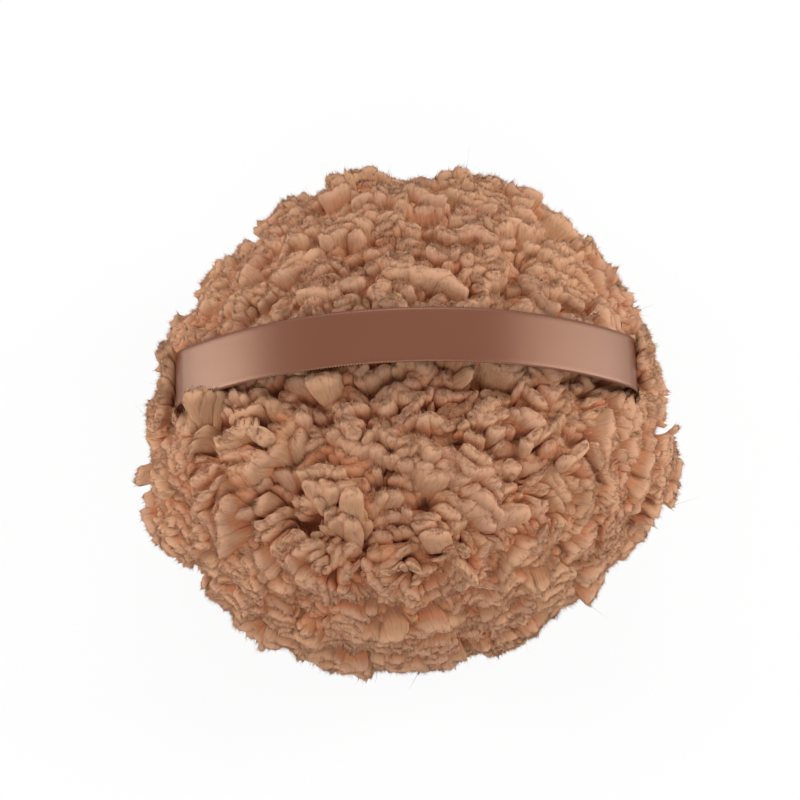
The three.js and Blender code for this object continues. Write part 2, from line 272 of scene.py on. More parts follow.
# The middle line of the ribbon's solid, which this one follows, lies this far inside it
solidHalf = 0.2 * mm
ribbon = {
    "width": loopHigh.y - loopLow.y,
    "thickness": 0.30 * mm,
    "selvedge": 0.44 * mm,
    "selvedgePower": 14,
    "reach": loopHigh.x - solidHalf,
    "crest": loopHigh.z - solidHalf,
    "legLength": 3.3 * mm,
    "shoulder": 6.0 * mm,
    "turn": 4.0 * mm,
    "turnSteps": 20,
    "archSteps": 80,
    "tailEnd": -endHigh.x,
    "step": 0.175 * mm,
    "columns": 17,
    "picotPitch": 0.62 * mm,
    "picotDepth": 0.24 * mm,
    "picotFrom": 0.99,
    "bendBelow": 6.4 * mm,
    "bendAbove": 6.1 * mm,
}


def arc(x, z, radius, start, end, steps):
    angles = np.linspace(start, end, steps)
    return np.stack([x + radius * np.cos(angles), z + radius * np.sin(angles)], -1)


# Middle line of the whole ribbon in X and Z, from one cut end to the other
def ribbonLine():
    reach, shoulder = ribbon["reach"], ribbon["shoulder"]
    shoulderX = reach - shoulder
    shoulderZ = swingHeight + ribbon["legLength"]
    rise = ribbon["crest"] - shoulderZ
    archRadius = (shoulderX ** 2 + rise ** 2 - shoulder ** 2) / (2 * (rise - shoulder))
    archZ = ribbon["crest"] - archRadius
    meeting = math.atan2(shoulderZ - archZ, shoulderX)
    bendX = reach - ribbon["turn"]
    half = np.concatenate([
        [[ribbon["tailEnd"], seamHeight]],
        arc(bendX, seamHeight + ribbon["turn"], ribbon["turn"], -math.pi / 2, 0, ribbon["turnSteps"]),
        arc(shoulderX, shoulderZ, shoulder, 0, meeting, ribbon["turnSteps"]),
        arc(0, archZ, archRadius, meeting, math.pi / 2, ribbon["archSteps"])[1:],
    ])
    whole = np.concatenate([half, half[-2::-1] * [-1, 1]])
    run = np.concatenate([[0], np.cumsum(np.linalg.norm(np.diff(whole, axis=0), axis=1))])
    even = np.linspace(0, run[-1], round(run[-1] / ribbon["step"]))
    return np.stack([np.interp(even, run, whole[:, 0]), np.interp(even, run, whole[:, 1])], -1), even


# The pile

backPile = {
    "side": 1,
    "height": backHigh.z - seamHeight,
    "fullness": 2.2,
    "lockCount": 1600,
    "clumpCount": 130,
    "seed": 11,
}
facePile = {
    "side": -1,
    "height": seamHeight,
    "fullness": 2.8,
    "lockCount": 1050,
    "clumpCount": 90,
    "seed": 23,
}
# The filling lies unevenly and bulges the puff a little: waves round it, size, and turn
bulges = ((1, 2.6 * mm, 90), (2, 1.8 * mm, -55), (3, 1.0 * mm, 59), (5, 0.8 * mm, 125))
rimBand = (0.5, 0.8)
spreading = {
    "steps": 500,
    "crowding": 0.6,
    "crowdedBand": (0.5, 0.9),
    "arcShare": 1.6,
    "nearestPole": 0.005,
}
napShape = {
    "brushed": 0.8,
    "brushedBand": (0.45, 0.75),
    "outward": 0.15,
    "outwardRise": 1.05,
    "outwardBand": (0.45, 0.85),
    "hang": -0.8,
    "hangBand": (0.6, 0.95),
    "fullAt": 0.5,
    "frontBand": (0.05, 0.35),
}
# A lock is a row of lobes side by side, stacked as flakes toward the rim. Pairs are for the middle of a dome and
# its rim. The exceptions are lobes, sizeLimits, lobeSizes, lobeLengths and strayRange, which are ranges, and
# leanWays and clumpDropWays, the ways where leans and clumpDrop hold.
lockShape = {
    "shake": 0.45,
    "length": (11.0 * mm, 12.0 * mm),
    "lobes": (1, 5),
    "lobeWidth": (4.1 * mm, 4.2 * mm),
    "lobeThickness": (3.0 * mm, 1.0 * mm),
    "sizeSpread": 0.26,
    "sizeLimits": (-0.4, 0.5),
    "lobeSizes": (0.8, 1.2),
    "lobeLengths": (0.92, 1.08),
    "lobeArch": 0.25 * mm,
    "lobeSpacing": 0.54,
    "stackShift": 0.1,
    "stackStep": 0.4,
    "lobeStep": 0.35 * mm,
    "lobeSlip": 0.40 * mm,
    "lobeTilt": 0.07,
    "lobeTurn": 0.12,
    "fan": 0.05,
    "rootLean": 0.35,
    "tipLean": 0.65,
    "leanWays": (0.0, 0.55, 1.0),
    "leans": (0.40, 0.42, 0.15),
    "frontLean": 0.45,
    "leanSpread": 0.14,
    "turnSpread": 0.22,
    "leanLimit": 0.08,
    "curl": 0.4,
    "curlLimit": 0.25,
    "twist": (0.35, 0.16),
    "clumpShake": 0.7,
    "clumpFlatness": (0.7, 1.6),
    "clumpTurn": 0.20,
    "clumpTone": 0.5,
    "clumpReach": 6.2 * mm,
    "clumpLimit": 1.1,
    "clumpDropWays": (0.5, 0.85),
    "clumpDrop": (3.0 * mm, 3.2 * mm),
    "clumpLift": 0.9 * mm,
    "loft": 0.9 * mm,
    "ownLift": 0.45 * mm,
    "strayShare": 0.04,
    "strayRange": (0.2, 1),
    "strayLift": 3.0 * mm,
    "gather": 0.06,
    "seamDrop": 0.8 * mm,
    "seamSpread": 5.0 * mm,
    "sides": 10,
    "ridge": (0.05, 0.07),
    "rootRidge": 0.4,
    "tipRidge": 0.6,
    "softness": 0.35,
    "ragged": (0.2 * mm, 0.9 * mm),
    "raggedPower": 4,
    "tone": 0.5,
    "toneSpread": 0.2,
    "lobeToneSpread": 0.06,
    "combGap": 7.31,
    "ringShares": (0.0, 0.42, 0.68, 0.83, 0.93, 0.985, 1.0),
    "widthShares": ((0.45, 0.80, 0.98, 1.0, 0.87, 0.58, 0.22),
                    (0.45, 0.80, 0.98, 1.06, 1.05, 0.90, 0.60)),
    "thicknessShares": ((0.50, 0.84, 0.98, 1.0, 0.86, 0.55, 0.20),
                        (0.50, 0.84, 0.98, 0.92, 0.72, 0.45, 0.20)),
    "capTilts": (0.0, 0.0, 0.05, 0.25, 0.7, 1.2, 1.6),
    "waveLengths": (8.0 * mm, 2.6 * mm),
    "waveDepths": (0.8 * mm, 0.22 * mm),
}


# A point on a dome's skin, or sunk below it. Way runs from 0 at the pole to 1 at the seam.
def domePoint(dome, way, turn, sink=0.0):
    power = dome["fullness"]
    across = np.sin(way * math.pi / 2)
    up = np.cos(way * math.pi / 2)
    swell = (across ** power + up ** power) ** (-1 / power)
    bulge = sum(size * np.cos(count * turn + math.radians(start)) for count, size, start in bulges)
    radius = (puffRadius - sink + bulge) * across * swell
    height = (dome["height"] - sink) * up * swell
    return np.stack([radius * np.cos(turn), radius * np.sin(turn),
                     seamHeight + dome["side"] * height], -1)


def domeNormal(dome, points):
    power = dome["fullness"]
    radius = np.hypot(points[..., 0], points[..., 1])
    height = np.abs(points[..., 2] - seamHeight)
    out = (radius / puffRadius) ** (power - 1) / puffRadius
    rise = (height / dome["height"]) ** (power - 1) / dome["height"]
    scale = out / np.maximum(radius, tiny)
    return unit(np.stack([points[..., 0] * scale, points[..., 1] * scale, dome["side"] * rise], -1))


# From 0 where the pile stands in tufts to 1 toward the rim, where it lies in stacked flakes
def rimward(way):
    return eased(way, *rimBand)


# Ways and turns spread evenly over a dome, a little closer toward the rim, then shaken
def spreadOver(dome, count, shake, rng):
    ways = np.linspace(0, 1, spreading["steps"])
    profile = domePoint(dome, ways, 0 * ways)
    steps = np.diff(profile, axis=0)
    band = np.linalg.norm(steps, axis=1) * (profile[1:, 0] + profile[:-1, 0]) / 2
    band = band * (1 + spreading["crowding"] * eased(ways[1:], *spreading["crowdedBand"]))
    area = np.concatenate([[0], np.cumsum(band)])
    spacing = math.sqrt(2 * math.pi * area[-1] / count)
    shares = (np.arange(count) + 0.5) / count
    way = np.interp(shares, area / area[-1], ways)
    reach = domePoint(dome, way, 0 * way)[:, 0]
    way += rng.uniform(-shake, shake, count) * spacing / (puffRadius * spreading["arcShare"])
    way = np.clip(way, spreading["nearestPole"], 1)
    turn = np.arange(count) * goldenAngle + rng.uniform(-shake, shake, count) * spacing / reach
    return way, turn


# Nearest clump of each lock, measured so that clumps lie in short rows across the nap
def gatherInClumps(dome, shape, points, nap, rootWay, rng):
    way, turn = spreadOver(dome, dome["clumpCount"], shape["clumpShake"], rng)
    centres = domePoint(dome, way, turn)
    away = centres[None] - points[:, None]
    flatter = between(shape["clumpFlatness"], rimward(rootWay))[:, None, None]
    stretch = flatter * np.sum(away * nap[:, None], -1, keepdims=True) * nap[:, None]
    nearest = np.argmin(np.linalg.norm(away + stretch, axis=-1), axis=1)
    offset = centres[nearest] - points
    return nearest, offset


# The way that the pile lies: to the back on the crown, outward further down, and hanging at the rim
def napAt(dome, points, normals, way):
    outward = unit(points * [1, 1, 0] + [0, 0, tiny])
    brushed = max(dome["side"], 0) * napShape["brushed"] * (1 - eased(way, *napShape["brushedBand"]))
    spread = napShape["outward"] + napShape["outwardRise"] * eased(way, *napShape["outwardBand"])
    hang = eased(way, *napShape["hangBand"])
    lie = ([0, 1, 0] * brushed[:, None] + outward * spread[:, None]
           + [0, 0, napShape["hang"]] * hang[:, None])
    lie -= np.sum(lie * normals, -1, keepdims=True) * normals
    strength = np.minimum(np.linalg.norm(lie, axis=-1) / napShape["fullAt"], 1)
    front = brushed / napShape["brushed"] * np.maximum(-outward[:, 1], 0)
    return unit(lie), strength, front * eased(way, *napShape["frontBand"])


def between(pair, share):
    return pair[0] + (pair[1] - pair[0]) * share


# Gentle waves in every direction, so that no two lobes are alike
def waves(points, shape, rng):
    moved = points.copy()
    for length, depth in zip(shape["waveLengths"], shape["waveDepths"]):
        for axis in range(3):
            for _ in range(2):
                heading = unit(rng.normal(0, 1, 3)) * 2 * math.pi / length
                moved[..., axis] += depth / 2 * np.sin(points @ heading + rng.uniform(0, 2 * math.pi))
    return moved


# Places in the back where the pile stands higher or lower, in millimetres: x, y, spread and rise
swells = ((-6, 49, 8, 3.0), (19, 47, 7, 1.6), (-46, 16, 6, 1.5), (46, 14, 6, 2.0), (-30, -16, 7, 1.5),
          (-51, -24, 7, 2.4), (-54, 3, 6, -1.5), (52, -19, 6, 3.0), (27, 47, 6, 1.5), (18, -52, 7, -1.5))


# The locks of a dome: where each tip is, how it stands, and its size
def combLocks(dome, shape, rng):
    count = dome["lockCount"]
    way, turn = spreadOver(dome, count, shape["shake"], rng)
    rim = rimward(way)
    roots = domePoint(dome, way, turn)
    normals = domeNormal(dome, roots)
    nap, napStrength, front = napAt(dome, roots, normals, way)
    clump, offset = gatherInClumps(dome, shape, roots, nap, way, rng)
    clumps = dome["clumpCount"]
    clumpLift = rng.normal(0, shape["clumpLift"], clumps)[clump]
    clumpTone = rng.normal(0, shape["clumpTone"], clumps)[clump]
    away = np.minimum(np.linalg.norm(offset, axis=1) / shape["clumpReach"], shape["clumpLimit"])
    lift = shape["loft"] + clumpLift + rng.normal(0, shape["ownLift"], count)
    lift -= np.interp(way, shape["clumpDropWays"], shape["clumpDrop"]) * away ** 2
    lift -= shape["seamDrop"] * np.exp(-((roots[:, 2] - seamHeight) / shape["seamSpread"]) ** 2)
    for x, y, spread, rise in swells:
        reach = np.hypot(roots[:, 0] - x * mm, roots[:, 1] - y * mm) / (spread * mm)
        lift += max(dome["side"], 0) * rise * mm * np.exp(-reach ** 2)
    strays = rng.uniform(*shape["strayRange"], count) * (rng.uniform(0, 1, count) < shape["strayShare"])
    lift += shape["strayLift"] * strays * (1 - rim)
    inPlane = offset - np.sum(offset * normals, -1, keepdims=True) * normals
    leanAngle = (np.interp(way, shape["leanWays"], shape["leans"]) + shape["frontLean"] * front) * napStrength
    size = np.exp(np.clip(rng.normal(0, shape["sizeSpread"], count), *shape["sizeLimits"]))
    leanShift = np.clip(rng.normal(0, shape["leanSpread"], count), -1, shape["leanLimit"])
    clumpTurn = rng.normal(0, shape["clumpTurn"], clumps)[clump]
    return {
        "tip": roots + normals * lift[:, None] + inPlane * shape["gather"],
        "normal": normals,
        "nap": nap,
        "lean": leanAngle + leanShift,
        "turned": clumpTurn + rng.normal(0, shape["turnSpread"], count),
        "curl": np.clip(rng.normal(0, shape["curl"], count), -1, shape["curlLimit"]),
        "twist": rng.normal(0, 1, count) * between(shape["twist"], way),
        "tone": np.clip(shape["tone"] + shape["toneSpread"] * (clumpTone + rng.normal(0, 1, count)), 0, 1),
        "lobes": rng.integers(*shape["lobes"], count) + (rng.uniform(0, 1, count) < rim),
        "width": between(shape["lobeWidth"], way) * size,
        "thickness": between(shape["lobeThickness"], way) * size,
        "length": between(shape["length"], way),
        "ragged": between(shape["ragged"], way),
        "stacked": rim,
    }


# Tufts that stand out, in millimetres. Each has its tip, the ways that it stands and is wide, its lobes,
# their width and thickness, and its curl.
tufts = (
    ((-50.6, 7.6, 59.5), (-0.32, 0.25, 1), (0.2, 1, 0), 3, (2.7, 2.2), 0.4),
    ((-51.4, 3.4, 58.6), (-0.40, 0.05, 1), (-0.3, 1, 0), 2, (3.0, 2.4), 0.1),
    ((-51.6, -1.6, 56.8), (-0.45, -0.2, 1), (0.3, 1, 0), 3, (2.6, 2.3), 0.3),
    ((-52.0, -6.6, 55.4), (-0.55, -0.4, 1), (0.6, 1, 0), 2, (3.2, 2.0), 0.4),
    ((50.8, 7.2, 60.0), (0.35, 0.35, 1), (-0.3, 1, 0), 2, (2.8, 2.2), 0.4),
    ((51.2, 3.0, 58.8), (0.42, 0.05, 1), (0.3, 1, 0), 3, (2.5, 2.3), 0.1),
    ((51.4, -2.2, 57.0), (0.42, -0.2, 1), (-0.2, 1, 0), 2, (3.0, 2.1), 0.3),
    ((51.6, -7.2, 54.9), (0.50, -0.4, 1), (-0.6, 1, 0), 3, (2.6, 2.0), 0.4),
    ((58.4, -8.0, 40), (1, 0.15, 0.1), (0, 1, 0.3), 1, (2.4, 1.3), 0.5),
    ((57.6, -11.5, 39), (1, -0.15, 0.1), (0, 1, 0.3), 2, (2.6, 1.5), 0),
    ((-57.4, -13.0, 39), (-1, 0.1, 0.05), (0, 1, 0.3), 2, (2.8, 1.5), -0.4),
)
# These stand in front of the ribbon's left end and lean on it
ribbonTufts = (
    ((-43.4, -4.9, 68.2), (-0.15, 0.66, 0.74), (1, 0.1, 0.2), 2, (3.4, 2.6), 0.5),
    ((-40.2, -5.8, 68.0), (0.10, 0.66, 0.74), (1, 0.1, -0.3), 1, (4.6, 2.8), 0.2),
    ((-38.6, -5.0, 68.9), (0.05, 0.66, 0.78), (1, 0.2, 0.5), 1, (2.4, 2.0), 0.3),
)
tuftShape = {
    "length": 11 * mm,
    "ribbonLength": 15 * mm,
    "twist": 0.15,
    "tones": (0.35, 0.8),
    "ragged": 0.7 * mm,
}


def placeTufts(chosen, length, rng):
    tip, up, wide, lobes, size, curl = (np.array(column, dtype=float) for column in zip(*chosen))
    count = len(chosen)
    normal = unit(up)
    wide = unit(wide - np.sum(wide * normal, -1, keepdims=True) * normal)
    size = size * mm
    return {
        "tip": tip * mm,
        "normal": normal,
        "nap": np.cross(wide, normal),
        "lean": np.zeros(count),
        "turned": np.zeros(count),
        "curl": curl,
        "twist": rng.normal(0, tuftShape["twist"], count),
        "tone": rng.uniform(*tuftShape["tones"], count),
        "lobes": lobes.astype(int),
        "width": size[:, 0],
        "thickness": size[:, 1],
        "length": np.full(count, length),
        "ragged": np.full(count, tuftShape["ragged"]),
        "stacked": np.zeros(count),
    }


def together(*sets):
    return {key: np.concatenate([one[key] for one in sets]) for key in sets[0]}


# Each lock becomes a row of closed lobes, as lobes x rings x sides x 3
def shapeLobes(locks, shape, rng, clear=True):
    perLock = locks["lobes"]
    count = len(perLock)
    lock = np.repeat(np.arange(count), perLock)
    lobes = len(lock)
    tips, normals, nap = locks["tip"], locks["normal"], locks["nap"]
    side = np.cross(normals, nap)
    place = np.arange(lobes) - np.repeat(np.cumsum(perLock) - perLock, perLock) - (perLock[lock] - 1) / 2
    width = locks["width"][lock] * rng.uniform(*shape["lobeSizes"], lobes)
    thickness = locks["thickness"][lock] * rng.uniform(*shape["lobeSizes"], lobes)
    stacked = locks["stacked"][lock]
    apart = place * locks["width"][lock] * shape["lobeSpacing"] * (1 - shape["stackShift"] * stacked)
    slip = rng.normal(0, shape["lobeSlip"], lobes) + place * thickness * shape["stackStep"] * stacked
    length = locks["length"][lock] * rng.uniform(*shape["lobeLengths"], lobes)
    lobeLift = rng.normal(0, shape["lobeStep"], lobes) - shape["lobeArch"] * place ** 2
    leanAngle = locks["lean"][lock] + rng.normal(0, shape["lobeTilt"], lobes)
    leanTurn = locks["turned"][lock] + shape["fan"] * place + rng.normal(0, shape["lobeTurn"], lobes)
    leanTo = nap[lock] * np.cos(leanTurn)[:, None] + side[lock] * np.sin(leanTurn)[:, None]
    tone = np.clip(locks["tone"][lock] + rng.normal(0, shape["lobeToneSpread"], lobes), 0, 1)

    rings = np.array(shape["ringShares"])
    sides = shape["sides"]
    opening = (1 + rings) / 2
    bend = leanAngle[:, None] * (shape["rootLean"] + shape["tipLean"] * rings)
    bend += locks["curl"][lock, None] / 2 * rings ** 2
    normal = normals[lock, None]
    lean = leanTo[:, None]
    along = normal * np.cos(bend)[..., None] + lean * np.sin(bend)[..., None]
    steps = (along[:, 1:] + along[:, :-1]) / 2 * (np.diff(rings)[:, None] * length[:, None, None])
    back = np.concatenate([np.cumsum(steps[:, ::-1], axis=1)[:, ::-1], 0 * steps[:, :1]], axis=1)
    middle = tips[lock, None] + along[:, -1:] * lobeLift[:, None, None] - back

    acrossAxis = np.cross(normal, lean) + 0 * along
    thickAxis = np.cross(along, acrossAxis)
    spin = locks["twist"][lock, None] * opening
    wide = acrossAxis * np.cos(spin)[..., None] + thickAxis * np.sin(spin)[..., None]
    thick = thickAxis * np.cos(spin)[..., None] - acrossAxis * np.sin(spin)[..., None]
    middle = middle + wide * (apart[:, None] * opening)[..., None] + thick * slip[:, None, None]

    angle = 2 * math.pi * (np.arange(sides) + 0.5) / sides
    ridge = between(shape["ridge"], stacked)[:, None, None]
    ridgeRise = shape["rootRidge"] + shape["tipRidge"] * rings[:, None]
    ridges = 1 + ridge * rng.uniform(-1, 1, (lobes, 1, sides)) * ridgeRise
    widthShare, thicknessShare = (between(np.array(shape[key])[..., None], stacked).T[..., None]
                                  for key in ("widthShares", "thicknessShares"))
    halfWidth = width[:, None, None] / 2 * widthShare * ridges
    halfThick = thickness[:, None, None] / 2 * thicknessShare * ridges
    setBack = rng.uniform(0, 1, (lobes, 1, sides)) * locks["ragged"][lock, None, None]
    setBack = setBack * rings[:, None] ** shape["raggedPower"]
    points = (middle[:, :, None]
              + wide[:, :, None] * (halfWidth * np.cos(angle))[..., None]
              + thick[:, :, None] * (halfThick * np.sin(angle))[..., None]
              - along[:, :, None] * setBack[..., None])
    outside = (wide[:, :, None] * np.cos(angle)[:, None] + thick[:, :, None] * np.sin(angle)[:, None]
               + along[:, :, None] * np.array(shape["capTilts"])[:, None, None])
    facing = np.sum(unit(outside) * normal[:, :, None], -1)
    whole = points.shape[:3]
    comb = np.stack([
        (apart[:, None, None] + halfWidth * np.cos(angle)) / mm,
        np.broadcast_to(rings[:, None] * length[:, None, None] / mm, whole),
        lock[:, None, None] * shape["combGap"] + halfThick * np.sin(angle) / mm,
    ], -1)
    points = waves(points, shape, rng)
    if clear:
        points = makeRoom(points, points[:, -1:, :, 0].mean(axis=2, keepdims=True))
    return {
        "points": points,
        "reach": np.broadcast_to(rings[:, None], whole),
        "tint": np.broadcast_to(tone[:, None, None], whole),
        "comb": comb,
        "facing": facing,
        "faces": unit(outside),
        "stands": np.broadcast_to(normal[:, :, None], (*whole, 3)),
        "tone": tone,
        "thickness": thickness,
        "stacked": stacked,
        "turn": np.arctan2(tips[lock, 1], tips[lock, 0]),
        "clear": clear,
    }


ribbonRoom = {
    "swing": math.radians(25),
    "widest": math.pi / 2 - 0.01,
    "halfWidth": 6.4 * mm,
    "under": 0.7 * mm,
    "beside": 0.45 * mm,
    "nearLeg": 4 * mm,
    "pastLeg": 2 * mm,
}


# The pile makes room for the ribbon: under its arch wherever it swings, and on both sides of its legs
def makeRoom(points, tips):
    line, _ = ribbonLine()
    inOrder = line[line[:, 1] > swingHeight]
    inOrder = inOrder[np.argsort(inOrder[:, 0])]
    above = np.interp(points[..., 0], inOrder[:, 0], inOrder[:, 1], left=0, right=0)
    above = above - swingHeight - ribbonRoom["under"]
    radius = np.hypot(points[..., 1], points[..., 2] - swingHeight)
    angle = np.arctan2(points[..., 1], points[..., 2] - swingHeight)
    past = np.clip(np.abs(angle) - ribbonRoom["swing"], 0, ribbonRoom["widest"])
    limit = above / np.cos(past)
    touched = (above > 0) & (radius > limit) & (radius * np.sin(past) < ribbonRoom["halfWidth"])
    scale = np.where(touched, limit / np.maximum(radius, tiny), 1)
    points[..., 1] *= scale
    points[..., 2] = swingHeight + (points[..., 2] - swingHeight) * scale
    legs = ribbon["reach"] - ribbon["thickness"] / 2
    sway = np.maximum(points[..., 2] - swingHeight, 0) * math.tan(ribbonRoom["swing"])
    beside = ((np.abs(points[..., 1]) < ribbonRoom["halfWidth"] + sway)
              & (points[..., 2] < swingHeight + ribbon["legLength"] + ribbonRoom["pastLeg"]))
    away = np.abs(points[..., 0])
    outer = np.maximum(away, legs + ribbonRoom["beside"])
    inner = np.minimum(away, legs - ribbonRoom["beside"])
    near = beside & (np.abs(away - legs) < ribbonRoom["nearLeg"])
    moved = np.where(np.abs(tips) > legs, outer, inner)
    points[..., 0] = np.where(near, np.sign(points[..., 0]) * moved, points[..., 0])
    return points


# The pile is pressed flat where it rests, and never goes below the floor
def pressOnFloor(points):
    knee = 1.1 * mm
    low = points[..., 2]
    points[..., 2] = np.where(low < knee, knee * np.exp((low - knee) / knee), low)
    return points


# How far points lie below the pile round them, in millimetres, from a map of the highest points in each
# direction. This depth paints shade: darker, redder colour in crevices. Sides that turn away from the light and
# what lies under a flake count as deeper, so they take painted shade too.
crevices = {
    "cells": 260,
    "spread": 2,
    "lightFacing": 0.6,
    "sideDepth": 1.3,
    "flakeDepth": 6.0,
    "flakeFrom": 0.93,
}


def cellsOf(dome, points):
    away = points - np.array([0, 0, seamHeight])
    height = np.linalg.norm(away, axis=-1)
    angle = np.arccos(np.clip(dome["side"] * away[..., 2] / height, -1, 1))
    turn = np.arctan2(away[..., 1], away[..., 0])
    cells = crevices["cells"]
    column = ((angle * np.cos(turn) / math.pi + 1) * (cells - 1) / 2).astype(int)
    row = ((angle * np.sin(turn) / math.pi + 1) * (cells - 1) / 2).astype(int)
    return column * cells + row, height


def skylineOf(dome, clouds):
    cells = crevices["cells"]
    skyline = np.zeros(cells * cells)
    for points in clouds:
        cell, height = cellsOf(dome, points.reshape(-1, 3))
        np.maximum.at(skyline, cell, height)
    skyline = skyline.reshape(cells, cells)
    steps = range(-crevices["spread"], crevices["spread"] + 1)
    shifts = [(across, down) for across in steps for down in steps]
    highest = np.maximum.reduce([np.roll(skyline, shift, (0, 1)) for shift in shifts])
    skyline = np.where(skyline == 0, highest, skyline)
    return np.mean([np.roll(skyline, shift, (0, 1)) for shift in shifts], axis=0).ravel()


def sunkenness(dome, skyline, points):
    cell, height = cellsOf(dome, points)
    return (skyline[cell] - height) / mm


# A pile's pieces, each from its own stretch of turn
def pilePieces(pile, name, count, facesOf, softness, material):
    order = np.argsort(np.mod(pile["turn"], 2 * math.pi))
    made = []
    for number, chosen in enumerate(np.array_split(order, count)):
        points = pile["points"][chosen]
        piece = meshPiece(
            f"{name}_{number + 1}", points.reshape(-1, 3), facesOf(*points.shape[:3]), material,
            values={key: pile[key][chosen] for key in ("reach", "tint", "sunken")},
            vectors={"comb": pile["comb"][chosen].reshape(-1, 3)},
        )
        softenShading(piece, pile["stands"][chosen], softness)
        made.append(piece)
    print(f"{name}: {len(order)} in {count} pieces")
    return made


undercoatShape = {
    "sink": 7.0 * mm,
    "inside": 13.7 * mm,
    "ways": (0.004, 0.985),
    "seamGap": 0.6 * mm,
    "rounds": 180,
    "steps": 70,
    "lumps": {"waveLengths": (3.5 * mm,), "waveDepths": (1.2 * mm,)},
    # A shade depth deep enough that the undercoat takes the full deep colour of the painted shade
    "looks": {"reach": 0.25, "tint": 0.4, "sunken": 9.0},
    "seed": 5,
}


# Short dense fibre between the locks, a closed shell around the cloth, painted in the deepest crevice shade
def makeUndercoat(dome, name, material):
    turns = np.linspace(0, 2 * math.pi, undercoatShape["rounds"], endpoint=False)
    ways = np.linspace(*undercoatShape["ways"], undercoatShape["steps"])
    ways, turns = np.meshgrid(ways, turns, indexing="ij")
    outside = domePoint(dome, ways, turns, sink=undercoatShape["sink"])
    rng = np.random.default_rng(dome["seed"] + undercoatShape["seed"])
    outside = waves(outside, undercoatShape["lumps"], rng)
    inside = domePoint(dome, ways[::-1], turns, sink=undercoatShape["inside"])
    points = np.concatenate([outside, inside])
    height = np.maximum(dome["side"] * (points[..., 2] - seamHeight), undercoatShape["seamGap"])
    points[..., 2] = seamHeight + dome["side"] * height
    if dome["side"] < 0:
        points = points[:, ::-1]
    whole = points.shape[:2]
    piece = meshPiece(name, points.reshape(-1, 3), tubeFaces(1, *whole), material,
                      values={key: np.full(whole, value) for key, value in undercoatShape["looks"].items()},
                      vectors={"comb": points.reshape(-1, 3) / mm})
    return piece


# What the short fuzz and the longer wisps share. They grow where the score is highest, which falls for places
# that are buried or near the floor.
fibreShape = {
    "scoreShake": 0.7,
    "hiddenCost": 0.6,
    "floorCost": 0.8,
    "floorBand": 6 * mm,
    "flakeCalm": 0.6,
    "endRings": (2, 4),
    "shortest": 0.8,
    "lobeFacing": 0.6,
    "pileFacing": 0.4,
    # How the painted shade along a fibre fades toward its tip and deepens at its root
    "tipRise": 0.4,
    "rootDepth": 0.3,
    "rootReach": 0.72,
    "tipReach": 0.28,
    "toneSpread": 0.08,
    "combRange": 99,
    "sunk": 0.06 * mm,
}
fuzz = {
    **fibreShape,
    "perLobe": 95,
    "perPiece": 62000,
    "tries": 2,
    "length": (0.9 * mm, 2.2 * mm),
    "radius": (0.050 * mm, 0.090 * mm),
    "flatness": 0.3,
    "rings": (0.0, 1.0),
    "taper": (1.0, 0.0),
    "fromRings": (1, 6),
    "capLength": 0.4,
    "outward": (0.04, 0.30),
    "stray": 0.13,
    "bend": 0.0,
    "hiddenBelow": 0.8,
    "softness": 0.97,
    "fullAt": 2.0 * mm,
    "seed": 31,
}
wisps = {
    **fibreShape,
    "perLobe": 0.09,
    "perPiece": 12000,
    "tries": 3,
    "length": (1.2 * mm, 2.8 * mm),
    "radius": (0.030 * mm, 0.055 * mm),
    "flatness": 0.6,
    "rings": (0.0, 0.35, 0.7, 1.0),
    "taper": (1.0, 0.9, 0.65, 0.15),
    "fromRings": (3, 5),
    "capLength": 1.0,
    "outward": (0.0, 0.5),
    "stray": 0.35,
    "bend": 1.4,
    "hiddenBelow": 0.0,
    "softness": 0.7,
    "fullAt": 1.0 * mm,
    "seed": 67,
}


